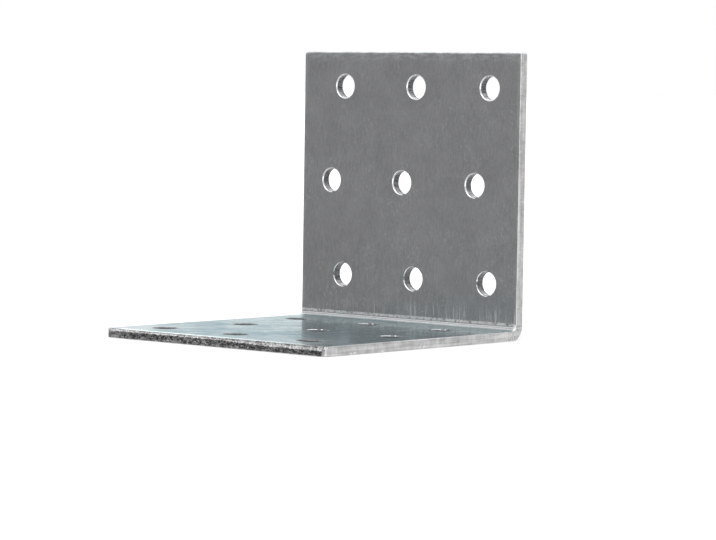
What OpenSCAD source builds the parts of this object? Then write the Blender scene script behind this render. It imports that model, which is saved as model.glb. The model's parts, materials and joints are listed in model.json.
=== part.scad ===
// Corner brace bracket: a strip of zinc-plated steel sheet, punched with nail
// holes and folded once to a right angle. Millimetres.
// X runs along the fold, Y from the free edge of the base leg to the outer face
// of the upright leg, and Z is up. The origin is the middle of the underside.

/* [Strip] */
// Width of the strip, measured along the fold
strip_width = 60; // [50:1:120]
// Thickness of the sheet
sheet_thickness = 2; // [1.5:0.1:3]
// Length of the leg that lies flat, from the outside of the fold
base_length = 62; // [50:1:120]
// Length of the leg that stands up, from the outside of the fold
upright_length = 60; // [50:1:120]
// Radius on the inside of the fold
fold_radius = 1; // [0.5:0.1:3]

/* [Nail holes] */
// Diameter of a nail hole
hole_diameter = 5; // [3:0.1:7]
// Holes in each row
hole_columns = 3; // [2:1:4]
// Rows of holes in each leg
hole_rows = 3; // [2:1:4]
// How far each row is moved sideways, to one side and the other by turns
row_shift = 1.8; // [0:0.1:3]
// From a side edge to the line of the outer holes
side_margin = 10; // [8:0.5:12]
// From the outside of the fold to the nearest row of the base leg
base_fold_margin = 12.4; // [10:0.1:14]
// From the last row of the base leg to its free edge
base_end_margin = 8.6; // [6:0.1:10]
// From the outside of the fold to the nearest row of the upright leg
upright_fold_margin = 11.5; // [10:0.1:14]
// From the last row of the upright leg to its free edge
upright_end_margin = 7.5; // [6:0.1:10]

/* [Edges] */
// Radius of the lip that the punch leaves round a hole, on the inner face
lip_radius = 0.3; // [0.1:0.05:0.6]
// Radius along the side edges of the inner face
side_edge_radius = 0.2; // [0.1:0.05:0.6]
// Radius along the free edges of the outer face
end_edge_radius = 0.35; // [0.1:0.05:0.6]
// Radius of the free corners on the left
left_corner_radius = 1.2; // [0.5:0.1:4]
// Radius of the free corners on the right
right_corner_radius = 0.6; // [0.5:0.1:4]

/* [Hidden] */
$fn = 96;

// how far a cutter runs past the metal, so that no skin is left
overrun = 1;
half_width = strip_width / 2;
fold_outer_radius = fold_radius + sheet_thickness;
hole_radius = hole_diameter / 2;
outer_column = half_width - side_margin;

// Evenly spaced places, with the first and the last one given
function spread(first, last, count) =
    [for (i = [0 : count - 1]) first + (last - first) * i / (count - 1)];

// A leg's own frame has X along the fold, Y along the leg from the outside of
// the fold, and Z through the sheet from the outer face to the inner face.
module on_base() {
    translate([0, base_length / 2, 0])
        mirror([0, 1, 0])
            children();
}

module on_upright() {
    translate([0, base_length / 2, 0])
        rotate([90, 0, 0])
            children();
}

// Side view of the folded strip: two legs and the quarter ring between them
module side_view() {
    translate([-base_length / 2, 0])
        square([base_length - fold_outer_radius, sheet_thickness]);
    translate([base_length / 2 - sheet_thickness, fold_outer_radius])
        square([sheet_thickness, upright_length - fold_outer_radius]);
    translate([base_length / 2 - fold_outer_radius, fold_outer_radius])
        intersection() {
            difference() {
                circle(fold_outer_radius);
                circle(fold_radius);
            }
            translate([0, -fold_outer_radius])
                square(fold_outer_radius);
        }
}

module folded_strip() {
    rotate([90, 0, 90])
        linear_extrude(strip_width, center = true)
            side_view();
}

// One punched hole, with its rolled lip at the inner face
module nail_hole() {
    lip_reach = hole_radius + lip_radius;
    translate([0, 0, -overrun])
        cylinder(r = hole_radius, h = sheet_thickness + 2 * overrun);
    translate([0, 0, sheet_thickness - lip_radius])
        rotate_extrude()
            difference() {
                square([lip_reach, lip_radius + overrun]);
                translate([lip_reach, 0])
                    circle(lip_radius);
            }
}

// The rows of one leg; first_side says which way the row next to the fold moves
module nail_holes(first_row, last_row, first_side) {
    rows = spread(first_row, last_row, hole_rows);
    columns = spread(-outer_column, outer_column, hole_columns);
    for (i = [0 : hole_rows - 1], column = columns) {
        side = i % 2 == 0 ? first_side : -first_side;
        translate([column + side * row_shift, rows[i], 0])
            nail_hole();
    }
}

// What rounding takes off an edge: a bar less a round rod. It lies along +Z,
// its sharp corner is on the axis, and the metal is at -X and -Y.
module edge_cutter(radius) {
    difference() {
        translate([-radius, -radius])
            square(radius + overrun);
        translate([-radius, -radius])
            circle(radius);
    }
}

// Rounds the four corners of a leg's free end and the edges of its sheet
module leg_edges(leg_length) {
    for (side = [0, 1]) {
        corner_radius = side == 0 ? right_corner_radius : left_corner_radius;
        mirror([side, 0, 0]) {
            translate([half_width, leg_length, -overrun])
                linear_extrude(sheet_thickness + 2 * overrun)
                    edge_cutter(corner_radius);
            translate([half_width, fold_outer_radius, sheet_thickness])
                rotate([-90, 0, 0])
                    linear_extrude(leg_length - fold_outer_radius + overrun)
                        mirror([0, 1])
                            edge_cutter(side_edge_radius);
        }
    }
    translate([-half_width - overrun, leg_length, 0])
        rotate([0, 90, 0])
            linear_extrude(strip_width + 2 * overrun)
                edge_cutter(end_edge_radius);
}

// Carries the rounding of the inner face's side edges round the fold
module fold_edges() {
    for (side = [0, 1])
        mirror([side, 0, 0])
            translate([half_width, base_length / 2 - fold_outer_radius, fold_outer_radius])
                rotate([0, 90, 0])
                    rotate_extrude(angle = 90)
                        translate([fold_radius, 0])
                            mirror([1, 0])
                                edge_cutter(side_edge_radius);
}

module bracket() {
    color("silver")
        difference() {
            folded_strip();
            on_base()
                nail_holes(base_fold_margin, base_length - base_end_margin, -1);
            on_upright()
                nail_holes(upright_fold_margin, upright_length - upright_end_margin, 1);
            on_base()
                leg_edges(base_length);
            on_upright()
                leg_edges(upright_length);
            fold_edges();
        }
}

bracket();
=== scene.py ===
import json
import math

import bmesh
import bpy
from mathutils import Matrix, Vector, noise


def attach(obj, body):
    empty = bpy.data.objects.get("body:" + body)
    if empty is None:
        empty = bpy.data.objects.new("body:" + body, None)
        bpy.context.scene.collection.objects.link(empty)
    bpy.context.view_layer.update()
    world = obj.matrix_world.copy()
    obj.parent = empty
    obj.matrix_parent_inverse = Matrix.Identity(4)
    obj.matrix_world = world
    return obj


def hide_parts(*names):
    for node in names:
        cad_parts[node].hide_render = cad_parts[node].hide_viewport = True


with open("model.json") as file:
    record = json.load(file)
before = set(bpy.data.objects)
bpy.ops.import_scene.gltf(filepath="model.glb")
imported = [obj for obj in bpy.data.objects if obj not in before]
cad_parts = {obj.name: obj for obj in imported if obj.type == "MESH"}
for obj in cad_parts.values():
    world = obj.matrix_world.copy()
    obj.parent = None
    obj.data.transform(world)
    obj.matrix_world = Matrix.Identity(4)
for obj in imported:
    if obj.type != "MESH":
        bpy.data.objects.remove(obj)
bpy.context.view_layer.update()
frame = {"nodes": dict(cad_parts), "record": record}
mm = 0.001
print("frame loaded:", sorted(frame["nodes"]))


def blend(low, high, value):
    # 0 below low, 1 above high, and a soft step between them
    share = min(max((value - low) / (high - low), 0.0), 1.0)
    return share * share * (3.0 - 2.0 * share)


def grain(a, b, c=0.0):
    # soft noise between -1 and 1, with features about one unit wide
    return noise.noise(Vector((a, b, c)))


def newObject(name, bm, materials):
    mesh = bpy.data.meshes.new(name)
    bm.to_mesh(mesh)
    bm.free()
    for material in materials:
        mesh.materials.append(material)
    made = bpy.data.objects.new(name, mesh)
    bpy.context.scene.collection.objects.link(made)
    return made


class Wire:
    # a node's output that Python's own operators work on, each adding a Math node

    def __init__(self, paint, socket):
        self.paint = paint
        self.socket = socket

    def math(self, operation, *values, clamp=False):
        settings = {"operation": operation, "use_clamp": clamp}
        return self.paint.node("Math", settings, dict(enumerate(values)))

    def __add__(self, other):
        return self.math("ADD", self, other)

    def __radd__(self, other):
        return self.math("ADD", other, self)

    def __sub__(self, other):
        return self.math("SUBTRACT", self, other)

    def __rsub__(self, other):
        return self.math("SUBTRACT", other, self)

    def __mul__(self, other):
        return self.math("MULTIPLY", self, other)

    def __rmul__(self, other):
        return self.math("MULTIPLY", other, self)

    def larger(self, other):
        return self.math("MAXIMUM", self, other)

    def step(self, low, high):
        # soft step from 0 to 1; high may be the smaller one
        ends = {"Value": self, "From Min": low, "From Max": high}
        return self.paint.node("MapRange", {"interpolation_type": "SMOOTHSTEP"}, ends)

    def between(self, start, end):
        # 1 from the soft start to the soft end, each given as two values
        return self.step(*start) * self.step(*end)


class Paint:
    # the nodes of one material or of the world, with its coordinates at hand

    def __init__(self, owner, coordinates="Object"):
        owner.use_nodes = True
        self.owner = owner
        self.tree = owner.node_tree
        self.tree.nodes.clear()
        self.place = self.node("TexCoord", output=coordinates)
        split = {"Vector": self.place}
        self.x = self.node("SeparateXYZ", {}, split, "X")
        self.y = self.node("SeparateXYZ", {}, split, "Y")
        self.z = self.node("SeparateXYZ", {}, split, "Z")

    def node(self, kind, settings=None, inputs=None, output=0):
        made = self.tree.nodes.new("ShaderNode" + kind)
        for key, value in (settings or {}).items():
            if key == "stops":
                self.setStops(made.color_ramp.elements, value)
            else:
                setattr(made, key, value)
        for key, value in (inputs or {}).items():
            if isinstance(value, Wire):
                self.tree.links.new(value.socket, made.inputs[key])
            else:
                made.inputs[key].default_value = value
        return Wire(self, made.outputs[output]) if made.outputs else None

    def setStops(self, elements, stops):
        while len(elements) < len(stops):
            elements.new(0.5)
        for element, (position, colour) in zip(elements, stops):
            element.position = position
            element.color = (*colour, 1.0)

    def ramp(self, value, *stops):
        return self.node("ValToRGB", {"stops": stops}, {"Fac": value}, "Color")

    def mix(self, share, first, second, kind="MIX"):
        colours = {
            "Factor": share,
            6: first if isinstance(first, Wire) else (*first, 1.0),
            7: second if isinstance(second, Wire) else (*second, 1.0),
        }
        return self.node("Mix", {"data_type": "RGBA", "blend_type": kind}, colours, 2)

    def point(self, x, y, z):
        return self.node("CombineXYZ", {}, {"X": x, "Y": y, "Z": z})

    def noise(self, place, scale, detail=2.0, roughness=0.5):
        values = {"Vector": place, "Scale": scale, "Detail": detail, "Roughness": roughness}
        return self.node("TexNoise", {}, values, "Fac")

    def metal(self, colour, roughness, height, depth, tint=(1.0, 1.0, 1.0, 1.0), metallic=1.0):
        # depth is the bump's full height in metres; tint is what a grazing look picks up
        bump = self.node("Bump", {}, {"Height": height, "Distance": depth, "Strength": 1.0})
        values = {"Base Color": colour, "Roughness": roughness, "Metallic": metallic, "Normal": bump}
        values["Specular Tint"] = tint
        return self.node("BsdfPrincipled", {}, values)

    def finish(self, shader):
        self.node("OutputMaterial", {}, {"Surface": shader})
        return self.owner


# finishes of the zinc, one dictionary and one function for each
rolled = {
    "dark": (0.42, 0.425, 0.432),
    "light": (0.57, 0.575, 0.583),
    "shinyTint": (0.82, 0.955, 0.98, 1.0),
    "dullTint": (0.38, 0.535, 0.585, 1.0),
    "roughness": 0.30,
    "baseRoughness": 0.14,
    "lineWidth": 0.30,  # mm, rolling lines along the strip
    "lineLength": 1.6,
    "lineDepth": 0.003,
    "cloudSize": 6.0,
    "speckSize": 0.5,
    "fleck": (0.76, 0.77, 0.78),
    "foldHighlight": (0.88, 0.91, 0.92),
    "foldScuff": (0.80, 0.81, 0.81),
    "foldShade": (0.20, 0.205, 0.21),
    "pale": (0.92, 0.93, 0.93),
    # heights of the painted highlight, the painted shade and the other marks in the fold, in metres: soft
    # start and soft end
    "highlightHeight": ((0.00256, 0.00266), (0.00284, 0.00277)),
    "gapHeight": ((0.00282, 0.00288), (0.00302, 0.00294)),
    "scuffHeight": ((0.00288, 0.00298), (0.00362, 0.00340)),
    "scratchHeight": ((0.0031, 0.0035), (0.0082, 0.0036)),
}


def rolledZinc():
    paint = Paint(bpy.data.materials.new("rolledZinc"))
    along = paint.y + paint.z  # runs on round the fold
    across = 1000.0 / rolled["lineWidth"]
    lengthwise = 1000.0 / rolled["lineLength"]
    lines = paint.noise(paint.point(paint.x * across, along * lengthwise, paint.z * 40.0), 1.0, 2.0)
    cloud = paint.noise(paint.place, 1000.0 / rolled["cloudSize"], 4.0, 0.6)
    speck = paint.noise(paint.place, 1000.0 / rolled["speckSize"], 2.0, 0.6)
    # marks of the fold and of the base leg's inner face stay off the outer faces
    inside = paint.y.step(0.0298, 0.0292) * paint.z.step(0.0012, 0.0018)
    onBase = paint.z.step(0.0027, 0.0021) * inside
    lowLeft = paint.z.step(0.024, 0.006) * paint.x.step(-0.006, -0.024)
    shade = cloud * 0.3 + lines * 0.4 + speck * 0.3 - lowLeft * 0.07
    colour = paint.ramp(shade, (0.36, rolled["dark"]), (0.64, rolled["light"]))
    # light flecks, more of them low down and near the right edge
    fleck = paint.noise(paint.point(paint.x * 2600.0, along * 1300.0, 0.5), 1.0, 1.0)
    crowd = paint.noise(paint.place, 150.0, 2.0) + paint.x.step(0.020, 0.030) * 0.08
    crowd = crowd + paint.z.step(0.026, 0.006) * 0.10
    flecks = fleck.step(0.58, 0.70) * crowd.step(0.48, 0.66)
    colour = paint.mix(flecks * 0.42, colour, rolled["fleck"])
    # a brighter, rubbed strip along the upright leg's free edge
    smear = paint.noise(paint.point(paint.x * 420.0, 0.0, paint.z * 1500.0), 1.0, 3.0, 0.6)
    rub = paint.z.step(0.0574, 0.0595) * smear.step(0.40, 0.62)
    colour = paint.mix(rub * 0.7, colour, rolled["fleck"])
    # the side edges are rubbed bright here and there, which also stands in as a painted highlight along
    # those edges
    side = paint.x.step(-0.0288, -0.0296).larger(paint.x.step(0.0288, 0.0296))
    rubbed = paint.noise(paint.point(paint.x * 900.0, along * 170.0, 0.8), 1.0, 3.0, 0.6)
    colour = paint.mix(side * rubbed.step(0.42, 0.62) * 0.45, colour, rolled["fleck"])
    # a painted highlight, a matt bright line at the foot of the fold, with scuffs and drawn scratches above
    # it
    foot = paint.z.between(*rolled["highlightHeight"]) * inside
    mottle = paint.noise(paint.point(paint.x * 1500.0, along * 1500.0, 0.0), 1.0, 3.0, 0.6)
    scuff = paint.z.between(*rolled["scuffHeight"])
    scuff = scuff * mottle.step(0.28, 0.58) * inside
    drawn = paint.noise(paint.point(paint.x * 3800.0, along * 160.0, 0.0), 1.0, 2.0)
    scratch = paint.z.between(*rolled["scratchHeight"])
    scratch = scratch * drawn.step(0.53, 0.65) * inside
    scratch = scratch * (0.35 + paint.x.step(-0.016, 0.004) * 0.45)
    colour = paint.mix(foot, colour, rolled["foldHighlight"])
    colour = paint.mix(scuff + scratch, colour, rolled["foldScuff"])
    # painted shade: the hollow of the fold is painted darker, least of all under the painted highlight and
    # on the scuffs
    gap = paint.z.between(*rolled["gapHeight"])
    under = paint.z.step(0.00250, 0.00240)
    flat = paint.z.step(0.00212, 0.00204)
    foldShade = paint.y.step(0.0200, 0.0265) * paint.z.step(0.0036, 0.0032) * inside
    foldShade = foldShade * (0.46 + gap * 0.10 - foot * 0.10 - scuff * 0.42 - under * 0.34 + flat * 0.16)
    colour = paint.mix(foldShade, colour, rolled["foldShade"])
    # where the base leg's inner face bends down to the torn edge it is pale and nearly matt, and it is
    # paler too towards the far left and near the fold; the milky patch towards the free end is a painted
    # reflection
    brink = paint.y.step(-0.0292, -0.0301) * paint.x.step(0.0250, 0.0215)
    brink = brink * (0.15 + mottle.step(0.40, 0.58) * 0.45)
    paleFarLeft = paint.y.step(-0.0100, -0.0260) * paint.x.step(-0.0150, -0.0250)
    paintedReflection = paint.y.step(-0.0120, -0.0300) * paint.x.step(-0.0060, 0.0140)
    paintedReflection = paintedReflection * paint.x.step(0.0290, 0.0215)
    nearFold = paint.y.step(0.0060, 0.0270) * paint.x.step(-0.0100, 0.0150)
    # and a painted highlight where the fold's painted line ends on the right
    hookHighlight = paint.x.step(0.0291, 0.0296) * paint.y.step(0.0276, 0.0281) * paint.z.step(0.0035, 0.0031)
    pale = onBase * brink.larger(paleFarLeft * 0.70).larger(paintedReflection * 0.30).larger(nearFold * 0.12)
    pale = pale.larger(hookHighlight * inside * 0.7)
    colour = paint.mix(pale, colour, rolled["pale"])
    metallic = 1.0 - foot * 0.9 - scuff * 0.35 - scratch * 0.3 - pale * 0.7
    roughness = rolled["roughness"] - onBase * (rolled["roughness"] - rolled["baseRoughness"])
    roughness = roughness + (cloud - 0.5) * 0.08 + (speck - 0.5) * 0.06
    roughness = roughness + foot * 0.3 + scuff * 0.15
    roughness = roughness + onBase * paint.y.step(0.0190, 0.0270) * 0.16
    height = lines * 0.6 + speck * 0.4
    depth = rolled["lineDepth"] * mm
    shiny = paint.metal(colour, roughness, height, depth, rolled["shinyTint"], metallic)
    darkerColour = paint.mix(onBase * 0.6, colour, rolled["dark"])
    dull = paint.metal(darkerColour, roughness + 0.18, height, depth, rolled["dullTint"], metallic)
    # the base leg is darker and rougher towards its free end, in soft streaks
    waves = paint.noise(paint.place, 190.0, 4.0, 0.75)
    fade = paint.y.step(0.026, -0.026) * paint.y.step(-0.0300, -0.0285)
    dullShare = onBase * (fade * 0.72 + (waves - 0.48) * 3.4)
    clamped = dullShare.math("MULTIPLY", dullShare, 1.0, clamp=True)  # kept between 0 and 1
    return paint.finish(paint.node("MixShader", {}, {0: clamped, 1: shiny, 2: dull}))


sheared = {
    "dark": (0.38, 0.385, 0.385),
    "light": (0.77, 0.77, 0.765),
    "tint": (0.66, 0.60, 0.60),
    "grain": (0.96, 0.96, 0.95),
    "roughness": 0.55,
    "depth": 0.014,  # mm, as in all the finishes below
}


def shearedZinc():
    # side edges of the strip: matt, with fine marks through the sheet and a faint tint
    paint = Paint(bpy.data.materials.new("shearedZinc"))
    upright = paint.z.step(0.0035, 0.0060)
    along = paint.y + upright * (paint.z - paint.y)
    through = paint.z + upright * (paint.y - paint.z)
    marks = paint.noise(paint.point(along * 2500.0, through * 500.0, paint.x * 900.0), 1.0, 3.0, 0.65)
    cloud = paint.noise(paint.place, 420.0, 3.0, 0.55)
    # the blade also leaves long stripes that run with the edge
    stripes = paint.noise(paint.point(along * 55.0, through * 2600.0, 0.3), 1.0, 2.0, 0.6)
    shade = marks * 0.22 + stripes * 0.43 + cloud * 0.35 - upright * 0.02
    colour = paint.ramp(shade, (0.36, sheared["dark"]), (0.60, sheared["light"]))
    tint = paint.noise(paint.place, 160.0, 2.0)
    colour = paint.mix(tint.step(0.5, 0.75) * 0.25, colour, sheared["tint"])
    # bright grains of zinc where the strip is folded
    grains = paint.noise(paint.place, 2400.0, 2.0).step(0.51, 0.59)
    grains = grains * paint.y.step(0.0190, 0.0270) * paint.z.step(0.0042, 0.0016)
    colour = paint.mix(grains * 0.45, colour, sheared["grain"])
    roughness = sheared["roughness"] + (cloud - 0.5) * 0.25
    return paint.finish(paint.metal(colour, roughness, marks, sheared["depth"] * mm))


broken = {
    "dark": (0.060, 0.060, 0.061),
    "light": (0.66, 0.66, 0.67),
    "roughness": 0.34,
    "depth": 0.06,
}


def brokenZinc():
    # the torn band of a cut end, in dark and light blotches drawn a little sideways
    paint = Paint(bpy.data.materials.new("brokenZinc"))
    spot = paint.point(paint.x * 0.7, paint.y, paint.z * 1.2)
    blotch = paint.noise(spot, 1300.0, 2.0, 0.5)
    coarse = paint.noise(spot, 2900.0, 2.0, 0.6)
    fine = paint.noise(paint.place, 7000.0, 2.0, 0.6)
    leftwards = paint.x.step(0.0, -0.020) + paint.x.step(-0.0245, -0.0285) * 4.0
    midwards = paint.x.step(0.016, 0.006) * paint.x.step(-0.022, -0.012)
    shade = blotch * 0.30 + coarse * 0.45 + fine * 0.25 + leftwards * 0.012 + midwards * 0.016
    colour = paint.ramp(shade, (0.47, broken["dark"]), (0.66, broken["light"]))
    roughness = broken["roughness"] + (fine - 0.5) * 0.3
    return paint.finish(paint.metal(colour, roughness, coarse * 0.5 + fine * 0.5, broken["depth"] * mm))


crust = {
    "dark": (0.16, 0.16, 0.16),
    "light": (0.72, 0.72, 0.72),
    "roughness": 0.30,
    "metallic": 0.40,
    "depth": 0.04,
}


def crustZinc():
    # bright grains where the zinc piled up on the upper part of a cut end
    paint = Paint(bpy.data.materials.new("crustZinc"))
    coarse = paint.noise(paint.place, 2600.0, 2.0, 0.5)
    fine = paint.noise(paint.place, 8000.0, 2.0, 0.6)
    patch = paint.noise(paint.place, 700.0, 2.0, 0.5)
    whiter = (paint.x.step(0.008, 0.020) * 0.5).larger(paint.x.step(0.006, -0.012))
    shade = coarse * 0.45 + fine * 0.25 + patch * 0.3 + whiter * 0.035
    colour = paint.ramp(shade, (0.43, crust["dark"]), (0.58, crust["light"]))
    roughness = crust["roughness"] + (fine - 0.5) * 0.2
    height = coarse * 0.6 + fine * 0.4
    depth = crust["depth"] * mm
    return paint.finish(paint.metal(colour, roughness, height, depth, metallic=crust["metallic"]))


punched = {
    "dark": (0.03, 0.032, 0.034),
    "light": (0.22, 0.228, 0.235),
    "roughness": 0.22,
    "depth": 0.014,
}


def punchedShadeZinc():
    # walls of the nail holes, drawn along by the punch, with their darkness painted in as the shade inside
    # the holes
    paint = Paint(bpy.data.materials.new("punchedShadeZinc"))
    upright = paint.y.step(0.0283, 0.0287)
    around = paint.y + upright * (paint.z - paint.y)
    through = paint.z + upright * (paint.y - paint.z)
    streaks = paint.noise(paint.point(paint.x * 3600.0, around * 3600.0, through * 450.0), 1.0, 2.0, 0.6)
    fine = paint.noise(paint.place, 5200.0, 2.0, 0.6)
    colour = paint.ramp(streaks * 0.75 + fine * 0.25, (0.34, punched["dark"]), (0.66, punched["light"]))
    roughness = punched["roughness"] + (fine - 0.5) * 0.2
    height = streaks * 0.7 + fine * 0.3
    return paint.finish(paint.metal(colour, roughness, height, punched["depth"] * mm))


lipShade = {
    "dark": (0.10, 0.105, 0.11),
    "light": (0.27, 0.28, 0.29),
    "roughness": 0.5,
    "metallic": 0.35,
    "depth": 0.01,
}


def lipShadeZinc():
    # stretches of the base leg's lips painted dark as shade, with a dull skin
    paint = Paint(bpy.data.materials.new("lipShadeZinc"))
    coarse = paint.noise(paint.place, 900.0, 2.0, 0.6)
    fine = paint.noise(paint.place, 4200.0, 2.0, 0.6)
    colour = paint.ramp(coarse * 0.7 + fine * 0.3, (0.36, lipShade["dark"]), (0.62, lipShade["light"]))
    roughness = lipShade["roughness"] + (fine - 0.5) * 0.2
    depth = lipShade["depth"] * mm
    return paint.finish(paint.metal(colour, roughness, fine, depth, metallic=lipShade["metallic"]))


burnished = {
    "dark": (0.72, 0.73, 0.74),
    "light": (0.93, 0.94, 0.95),
    "roughness": 0.09,
    "depth": 0.003,
}


def burnishedZinc():
    # lips that the punch rolls smooth round each hole; on the base leg only the stretches chosen as painted
    # highlights have it
    paint = Paint(bpy.data.materials.new("burnishedZinc"))
    coarse = paint.noise(paint.place, 900.0, 2.0, 0.5)
    fine = paint.noise(paint.place, 4200.0, 2.0, 0.6)
    colour = paint.ramp(coarse * 0.6 + fine * 0.4, (0.36, burnished["dark"]), (0.6, burnished["light"]))
    roughness = burnished["roughness"] + (coarse - 0.5) * 0.2
    return paint.finish(paint.metal(colour, roughness, coarse * 0.5 + fine * 0.5, burnished["depth"] * mm))


print("finishes ready")


sheet = {
    "halfWidth": 30.0,  # mm, as in the part
    "thickness": 2.0,
    "baseLength": 62.0,
    "uprightLength": 60.0,
    "leftCorner": 1.2,
    "rightCorner": 0.6,
    "baseCornerShare": 0.3,  # how round the base leg's left corner stays
    "cornerLift": 0.42,  # how far the underside bends up at that corner
    "endBand": 1.4,  # how much of each free end is modelled finely
    "cellSize": 0.125,  # of the fine mesh there
    "rollDown": 0.24,  # how far the inner face bends down at the base leg's free end
    "rollLength": 1.3,
    "crustDepth": (0.50, 0.92),  # left and right, down from the inner face
    "crustSlope": 0.34,  # how far the torn lip leans back
    "crustLumps": 0.085,
    "tornLumps": (0.12, 0.05),  # on the base leg and on the upright leg
    "rollOver": 0.35,  # radius of the smooth inner edge at the upright leg's free end
    "holeRadius": 2.5,
    "lipRadius": 0.3,
    "burnish": 0.7,  # how far down a hole the punch leaves the wall smooth
    "holeTear": 0.05,
    "slack": 0.02,  # how far out of place a point of a hole may be
    "lipSide": (0.757, 0.653),  # the camera's way to the right, along X and Y
    "brightDepth": 0.13,  # how far down a bright lip of the base leg goes
    "mergeAngle": 0.3,  # degrees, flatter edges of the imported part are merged
    "smoothAngle": 38,  # degrees, edges above it stay sharp
}


# each face's place in the sheet's list of materials
rolledFace, shearedFace, brokenFace, crustFace, punchedFace, burnishedFace, lipShadeFace = range(7)


def legPlace(co, upright):
    # along the fold, back from the free end, and up through the sheet from its outer face
    half = sheet["baseLength"] / 2
    if upright:
        return co.x / mm, sheet["uprightLength"] - co.z / mm, half - co.y / mm
    return co.x / mm, half + co.y / mm, co.z / mm


def legMove(upright, outward, inward):
    # a shift past the free end, and one off the inner face
    if upright:
        return Vector((0.0, -inward, outward)) * mm
    return Vector((0.0, -outward, inward)) * mm


def planeCut(bm, axis, place, faces=None):
    normal = Vector([1.0 if name == axis else 0.0 for name in "xyz"])
    faces = bm.faces[:] if faces is None else faces
    edges = {edge for face in faces for edge in face.edges}
    verts = {vert for face in faces for vert in face.verts}
    parts = [*verts, *edges, *faces]
    bmesh.ops.bisect_plane(bm, geom=parts, dist=1e-8, plane_co=normal * place * mm, plane_no=normal)


def bandFaces(bm, upright, depth):
    # faces that lie wholly within a free end's fine band
    chosen = []
    for face in bm.faces:
        if all(legPlace(vert.co, upright)[1] < depth + 1e-4 for vert in face.verts):
            chosen.append(face)
    return chosen


def refineEnd(bm, upright):
    band = sheet["endBand"]
    cell = sheet["cellSize"]
    half = sheet["baseLength"] / 2
    if upright:
        planeCut(bm, "z", sheet["uprightLength"] - band)
    else:
        planeCut(bm, "y", band - half)
    left = sheet["leftCorner"] - sheet["halfWidth"]
    right = sheet["halfWidth"] - sheet["rightCorner"]
    planeCut(bm, "x", left, bandFaces(bm, upright, band))
    planeCut(bm, "x", right, bandFaces(bm, upright, band))
    longEdges = []
    for edge in {edge for face in bandFaces(bm, upright, band) for edge in face.edges}:
        if edge.calc_length() > 0.9 * (right - left) * mm:
            longEdges.append(edge)
    cuts = round((right - left) / cell) - 1
    bmesh.ops.subdivide_edges(bm, edges=longEdges, cuts=cuts, use_grid_fill=True)
    for number in range(1, round(sheet["thickness"] / cell)):
        level = number * cell
        faces = [face for face in bandFaces(bm, upright, band) if abs(face.normal.x) < 0.9]
        planeCut(bm, "y" if upright else "z", half - level if upright else level, faces)
    for number in range(1, round(band / cell)):
        faces = []
        for face in bandFaces(bm, upright, band):
            if legPlace(face.calc_center_median(), upright)[2] > 1.5:
                faces.append(face)
        depth = number * cell
        place = sheet["uprightLength"] - depth if upright else depth - half
        planeCut(bm, "z" if upright else "y", place, faces)


def crustReach(x, upright):
    # how far the crust comes down the cut face, in mm
    first, last = sheet["crustDepth"]
    reach = first + (last - first) * blend(0.0, 16.0, x)
    return reach + 0.15 * grain(x * 0.6, 3.0, upright) + 0.12 * grain(x * 1.9, 7.0, upright)


def endShare(x):
    # the cut is only torn between the rounded corners
    left = sheet["leftCorner"] - sheet["halfWidth"]
    right = sheet["halfWidth"] - sheet["rightCorner"]
    return blend(left - 0.5, left + 0.3, x) * (1.0 - blend(right - 0.7, right, x))


def sharpenCorner(bm):
    # the base leg's left corner is cut tighter than the upright leg's
    reach = sheet["leftCorner"] + 1e-3
    for vert in bm.verts:
        x, back, level = legPlace(vert.co, False)
        aside = x + sheet["halfWidth"]
        if aside < reach and back < reach:
            vert.co.x -= aside * (1.0 - sheet["baseCornerShare"]) * mm
            vert.co.y -= back * (1.0 - sheet["baseCornerShare"]) * mm
        if aside < reach and back < reach and level < 0.9:
            vert.co.z += sheet["cornerLift"] * (1.0 - aside / reach) ** 2 * (1.0 - level / 0.9) * mm


def rollOver(vert, upright, back, drop):
    # rounds an edge: drop is the depth below the face, back the depth below the cut
    radius = sheet["rollOver"]
    if back >= radius or drop >= radius:
        return
    away = Vector((back - radius, drop - radius))
    moved = away.normalized() * radius - away
    vert.co += legMove(upright, -moved.x, -moved.y)


def shapeEnd(bm, upright):
    # the strip is cut through from one side, so the torn lip is on the base leg's inner face
    # and on the upright leg's outer face
    band = sheet["endBand"]
    thick = sheet["thickness"]
    for vert in bm.verts:
        x, back, level = legPlace(vert.co, upright)
        if back > band - 0.01:
            continue
        if upright:
            rollOver(vert, upright, back, thick - level)
            level = thick - level
        share = endShare(x)
        if share == 0.0:
            continue
        reach = crustReach(x, upright)
        crustShare = blend(thick - reach - 0.1, thick - reach + 0.1, level)
        up = min(max((level - (thick - reach)) / reach, 0.0), 1.0)
        front = 1.0 - blend(0.0, 0.5, back)
        strokes = grain(x * 2.6 + level * 1.6, level * 1.4, 5.0 + upright)
        lumps = grain(x * 4.2, back * 4.0 + level * 4.2, 11.0 + upright)
        outward = -sheet["crustSlope"] * up ** 1.5
        outward += crustShare * sheet["crustLumps"] * (strokes + 0.7 * lumps)
        torn = grain(x * 1.5, level * 2.2, 17.0 + upright) + 0.6 * grain(x * 3.6, level * 4.4, 23.0)
        tornShare = (1.0 - crustShare) * blend(0.3, 0.55, level)
        outward += tornShare * (sheet["tornLumps"][upright] * torn - 0.08)
        bend = max(0.0, 1.0 - back / sheet["rollLength"]) ** 2 * blend(0.0, thick, level)
        inward = -sheet["rollDown"] * bend
        top = blend(thick - 0.25, thick, level)
        spill = 1.0 - blend(0.1, 0.4, back + 0.2 * grain(x * 1.9, back * 2.0, 31.0 + upright))
        inward += top * spill * 0.06 * max(0.0, lumps + 0.5 * strokes)
        if upright:
            inward = -inward
        vert.co += legMove(upright, outward * front * share, inward * share)


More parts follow.
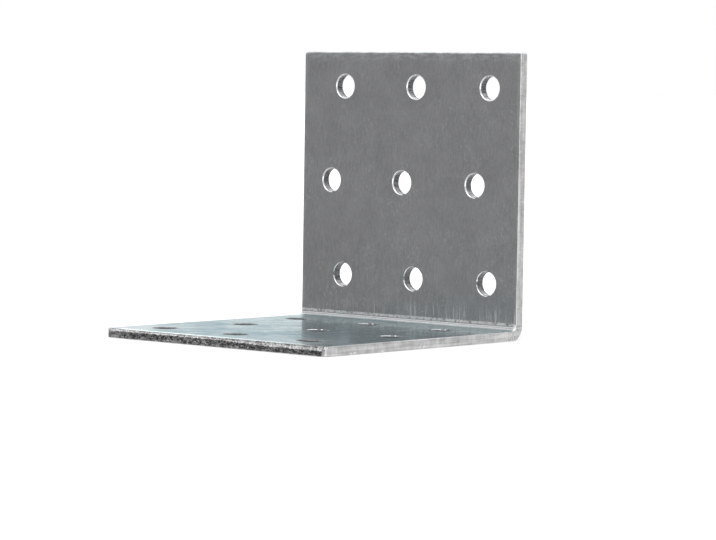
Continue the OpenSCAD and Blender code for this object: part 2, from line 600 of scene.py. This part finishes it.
def finishOf(face, upright, x, back, level):
    # which finish a face near a free end has
    thick = sheet["thickness"]
    if upright:
        level = thick - level
    outward = face.normal.z if upright else -face.normal.y
    reach = crustReach(x, upright)
    ragged = 0.16 * grain(x * 2.8, level * 2.0, 41.0 + upright) + 0.10 * grain(x * 6.0, level * 6.0, 43.0)
    right = sheet["halfWidth"] - sheet["rightCorner"] - 0.35 - 0.5 * max(0.0, 1.0 - level / 0.5) ** 2
    left = sheet["leftCorner"] - sheet["halfWidth"] - 0.3 + 0.4 * grain(level * 2.0, 9.0, upright)
    left -= 0.8 * (1.0 - blend(0.7, 1.3, level))
    brink = 0.12 + 0.14 * grain(x * 2.8, 2.0, 47.0 + upright)
    if not upright:
        brink += blend(5.0, 24.0, x) * (0.45 + 0.9 * grain(x * 1.7, 6.0, 53.0))
    if left < x < sheet["halfWidth"] - 0.2 and level > thick - reach + ragged and abs(face.normal.x) < 0.95:
        if back < brink or outward > 0.3:
            return crustFace
    if upright and level < sheet["rollOver"]:
        return rolledFace
    if outward > 0.35 and back < 0.6:
        return brokenFace if left < x < right else shearedFace
    return shearedFace if abs(face.normal.x) > 0.6 else rolledFace


def holePlaces():
    # centre of every nail hole: across the fold, along its leg, and whether it is in the upright leg
    places = []
    for mount in frame["record"]["mounts"]:
        if mount["kind"] != "bolt_pattern":
            continue
        upright = "upright" in mount["name"]
        middle = Vector(mount["pos_m"])
        spreadX = mount["dims"].get("spacing_x_mm", 0.0) * mm / 2
        spreadY = mount["dims"].get("spacing_y_mm", 0.0) * mm / 2
        for sideX in (-1, 1):
            for sideY in (-1, 1):
                shift = Vector((spreadX * sideX, 0, spreadY * sideY))
                if not upright:
                    shift = Vector((spreadX * sideX, spreadY * sideY, 0))
                places.append((middle + shift, upright))
    return places


def holeAt(co, places):
    # for a point on a nail hole: the way out from the hole's axis, how far out it is,
    # and how deep below the mouth
    thick = sheet["thickness"]
    for middle, upright in places:
        away = co - middle
        depth = thick / 2 + (away.y if upright else -away.z) / mm
        away[1 if upright else 2] = 0.0
        out = away.length / mm
        near = out < sheet["holeRadius"] + sheet["lipRadius"] + sheet["slack"]
        if near and -0.01 < depth < thick + 0.01:
            return away.normalized(), out, depth
    return None


def onWall(hole):
    return hole is not None and hole[1] < sheet["holeRadius"] + sheet["slack"]


def refineHoles(bm, places):
    # cuts the walls of the nail holes across, so that they can be shaped
    walls = []
    for edge in bm.edges:
        first, last = [holeAt(vert.co, places) for vert in edge.verts]
        if onWall(first) and onWall(last) and abs(first[2] - last[2]) > 1.0:
            if first[0].dot(last[0]) > 0.99999:
                walls.append(edge)
    bmesh.ops.subdivide_edges(bm, edges=walls, cuts=5, use_grid_fill=True)


def shapeHoles(bm, places):
    # below the smooth part the punch tears the wall, so the hole grows a little
    for vert in bm.verts:
        hole = holeAt(vert.co, places)
        if not onWall(hole) or hole[2] < sheet["burnish"]:
            continue
        outward, _, depth = hole
        torn = blend(sheet["burnish"], sheet["burnish"] + 0.5, depth)
        spot = vert.co / mm
        rough = grain(spot.x * 1.6, spot.y * 1.6, spot.z * 1.6)
        vert.co += outward * torn * sheet["holeTear"] * (1.0 + rough) * mm


def paintedLipLight(centre, hole):
    # painted light on the base leg's lips: only the holes towards the back right get painted highlights,
    # and not all round, and the rest of each lip is painted shade;
    # aside runs from -1 at a hole's left, seen by the camera, to 1 at its right
    outward, out, depth = hole
    middle = (centre - outward * out * mm) / mm
    aside = outward.x * sheet["lipSide"][0] + outward.y * sheet["lipSide"][1]
    if depth >= sheet["brightDepth"]:
        return lipShadeFace
    if middle.x + middle.y > -1.5 and (-0.75 < aside < 0.05 or 0.3 < aside < 0.5):
        return burnishedFace
    if middle.x > 10.0 and 0.12 < aside < 0.2:
        return burnishedFace
    return lipShadeFace


def buildSheet():
    bm = bmesh.new()
    bm.from_mesh(frame["nodes"]["bracket"].data)
    bmesh.ops.remove_doubles(bm, verts=bm.verts[:], dist=1e-6)
    limit = math.radians(sheet["mergeAngle"])
    bmesh.ops.dissolve_limit(bm, angle_limit=limit, verts=bm.verts[:], edges=bm.edges[:])
    print("merged copy:", len(bm.verts), "points", len(bm.faces), "faces")
    places = holePlaces()
    bm.normal_update()
    refineHoles(bm, places)
    shapeHoles(bm, places)
    for upright in (False, True):
        refineEnd(bm, upright)
    bm.normal_update()
    sharpenCorner(bm)
    for upright in (False, True):
        shapeEnd(bm, upright)
    bm.normal_update()
    flats = []
    for face in bm.faces:
        centre = face.calc_center_median()
        upright = centre.z > 0.03
        x, back, level = legPlace(centre, upright)
        hole = holeAt(centre, places) if face.calc_area() < 1e-6 else None
        if hole and (abs(face.normal.dot(hole[0])) > 0.08 or hole[1] < sheet["holeRadius"]):
            face.material_index = punchedFace
            if hole[2] < sheet["lipRadius"]:
                face.material_index = burnishedFace if upright else paintedLipLight(centre, hole)
        elif back < sheet["endBand"]:
            face.material_index = finishOf(face, upright, x, back, level)
        else:
            face.material_index = shearedFace if abs(face.normal.x) > 0.6 else rolledFace
        flats.append(max(abs(part) for part in face.normal) > 0.99999 and face.calc_area() > 1e-6)
    openEdges = [edge for edge in bm.edges if len(edge.link_faces) != 2]
    print("sheet:", len(bm.verts), "points", len(bm.faces), "faces", len(openEdges), "open edges")
    materials = [
        rolledZinc(),
        shearedZinc(),
        brokenZinc(),
        crustZinc(),
        punchedShadeZinc(),
        burnishedZinc(),
        lipShadeZinc(),
    ]
    made = newObject("foldedSheet", bm, materials)
    made.data.set_sharp_from_angle(angle=math.radians(sheet["smoothAngle"]))
    for polygon, flat in zip(made.data.polygons, flats):
        polygon.use_smooth = not flat
    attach(made, "root")
    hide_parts("bracket")
    return made


buildSheet()
print("sheet built")


beads = {
    "drops": [  # mm; low, small, long and the one at the corner
        {"along": -22.9, "length": 2.4, "height": 0.55, "reach": 0.16},
        {"along": -14.0, "length": 0.9, "height": 0.4, "reach": 0.12},
        {"along": -1.5, "length": 3.0, "height": 0.6, "reach": 0.18},
        {"along": -30.6, "length": 0.5, "height": 0.5, "reach": 0.05, "level": 1.62},
    ],
    "dark": (0.40, 0.40, 0.40),
    "light": (0.80, 0.80, 0.79),
    "roughness": 0.3,
    "metallic": 0.8,
    "depth": 0.012,
}


def buildBeads():
    # drops of zinc on the base leg's right side, most of them at its lower border
    bm = bmesh.new()
    for number, bead in enumerate(beads["drops"]):
        made = bmesh.ops.create_icosphere(bm, subdivisions=4, radius=0.5)
        level = bead.get("level", bead["height"] / 2)
        for vert in made["verts"]:
            lump = 1.0 + 0.22 * grain(vert.co.y * bead["length"] * 1.3, vert.co.z * 3.0, number * 7.0)
            vert.co = Vector((
                sheet["halfWidth"] + vert.co.x * 2 * bead["reach"] * lump,
                bead["along"] + vert.co.y * bead["length"],
                level + vert.co.z * bead["height"] * (0.85 + 0.15 * lump),
            )) * mm
            vert.co.z = max(vert.co.z, 0.0)
    bmesh.ops.recalc_face_normals(bm, faces=bm.faces[:])
    for face in bm.faces:
        face.smooth = True
    made = newObject("zincBeads", bm, [beadZinc()])
    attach(made, "root")


def beadZinc():
    paint = Paint(bpy.data.materials.new("beadZinc"))
    coarse = paint.noise(paint.place, 1400.0, 2.0, 0.5)
    fine = paint.noise(paint.place, 5200.0, 2.0, 0.6)
    colour = paint.ramp(coarse * 0.7 + fine * 0.3, (0.34, beads["dark"]), (0.6, beads["light"]))
    roughness = beads["roughness"] + fine * 0.15
    height = coarse * 0.5 + fine * 0.5
    depth = beads["depth"] * mm
    return paint.finish(paint.metal(colour, roughness, height, depth, metallic=beads["metallic"]))


buildBeads()
print("beads built")


studio = {
    "floorColour": (0.93, 0.935, 0.94),
    "floorSize": 30.0,
    "surround": 0.90,  # brightness of the pale surroundings
    "dimSide": (-0.66, -0.75),  # the way to the dimmer side of the studio
    "dimSpread": (0.55, 0.95),
    "dimLevel": 0.40,
    "dimTop": (0.08, 0.60),  # where the dimness ends, as a share of straight up
    "overhead": 0.60,
    "glowSide": (-0.65, 0.75),  # and to the brighter one
    "glow": 0.45,
    "flareSide": (0.80, -0.60),  # and to the bright window that the hole lips catch
    "flare": 1.2,
    "highWindow": (0.10, -0.66, 0.74),
    "highFlare": 1.5,
    "topLight": ((-0.2, 0.3, 1.0), 110.0, 1.45),  # the way to it, its spread in degrees, strength
}


def buildFloor():
    bm = bmesh.new()
    bmesh.ops.create_grid(bm, x_segments=1, y_segments=1, size=studio["floorSize"])
    bmesh.ops.translate(bm, verts=bm.verts[:], vec=(0, 0, -0.02 * mm))
    paint = Paint(bpy.data.materials.new("paleFloor"))
    cloud = paint.noise(paint.place, 3.0, 2.0)
    pale = studio["floorColour"]
    colour = paint.ramp(cloud, (0.3, pale), (0.7, tuple(part * 0.985 for part in pale)))
    shader = paint.metal(colour, 0.9, cloud, 0.0001, metallic=0.0)
    floor = newObject("floor", bm, [paint.finish(shader)])
    floor.visible_glossy = False


def buildWorld():
    # pale all round, dimmer low on one side and overhead; the camera itself sees plain white
    world = bpy.data.worlds.new("studio")
    bpy.context.scene.world = world
    paint = Paint(world, "Generated")
    towardX, towardY = studio["dimSide"]
    side = paint.x * towardX + paint.y * towardY
    low = 1.0 - paint.z.step(*studio["dimTop"])
    dim = side.step(*studio["dimSpread"]) * low * (1.0 - studio["dimLevel"])
    high = paint.z.step(0.5, 0.85) * (1.0 - studio["overhead"])
    towardX, towardY = studio["glowSide"]
    glow = (paint.x * towardX + paint.y * towardY).step(0.3, 0.8) * paint.z.step(0.12, 0.36)
    towardX, towardY = studio["flareSide"]
    flare = (paint.x * towardX + paint.y * towardY).step(0.80, 0.93) * paint.z.step(0.16, 0.06)
    towardX, towardY, towardZ = studio["highWindow"]
    highWindow = (paint.x * towardX + paint.y * towardY + paint.z * towardZ).step(0.86, 0.95)
    level = 1.0 - dim - high + glow * studio["glow"] + flare * studio["flare"]
    level = (level + highWindow * studio["highFlare"]) * studio["surround"]
    seen = paint.node("LightPath", output="Is Camera Ray")
    strength = level + seen * (1.0 - level)
    shader = paint.node("Background", {}, {"Color": (1.0, 1.0, 1.0, 1.0), "Strength": strength})
    paint.node("OutputWorld", {}, {"Surface": shader})


eye = {
    "azimuth": 40.735,
    "elevation": 3.395,
    "roll": 0.884,
    "aim": (5.881, 6.192, 14.393),  # mm
    "distance": 635.43,
    "lens": 153.88,
    "sensor": 36.0,
}


def buildCamera():
    azimuth = math.radians(eye["azimuth"])
    elevation = math.radians(eye["elevation"])
    roll = math.radians(eye["roll"])
    back = Vector((
        math.sin(azimuth) * math.cos(elevation),
        -math.cos(azimuth) * math.cos(elevation),
        math.sin(elevation),
    ))
    level = Vector((math.cos(azimuth), math.sin(azimuth), 0.0))
    rise = back.cross(level)
    right = math.cos(roll) * level + math.sin(roll) * rise
    up = back.cross(right)
    data = bpy.data.cameras.new("camera")
    data.lens = eye["lens"]
    data.sensor_width = eye["sensor"]
    camera = bpy.data.objects.new("camera", data)
    bpy.context.scene.collection.objects.link(camera)
    turn = Matrix((right, up, back)).transposed().to_4x4()
    place = (Vector(eye["aim"]) + back * eye["distance"]) * mm
    camera.matrix_world = Matrix.Translation(place) @ turn
    bpy.context.scene.camera = camera


def topLight(place, spread, strength):
    data = bpy.data.lights.new("topLight", "SUN")
    data.angle = math.radians(spread)
    data.energy = strength
    made = bpy.data.objects.new("topLight", data)
    made.rotation_euler = (-Vector(place)).to_track_quat("-Z", "Y").to_euler()
    bpy.context.scene.collection.objects.link(made)


buildFloor()
buildWorld()
topLight(*studio["topLight"])
buildCamera()
bpy.context.scene.view_settings.view_transform = "Standard"
print("floor, light and camera ready")
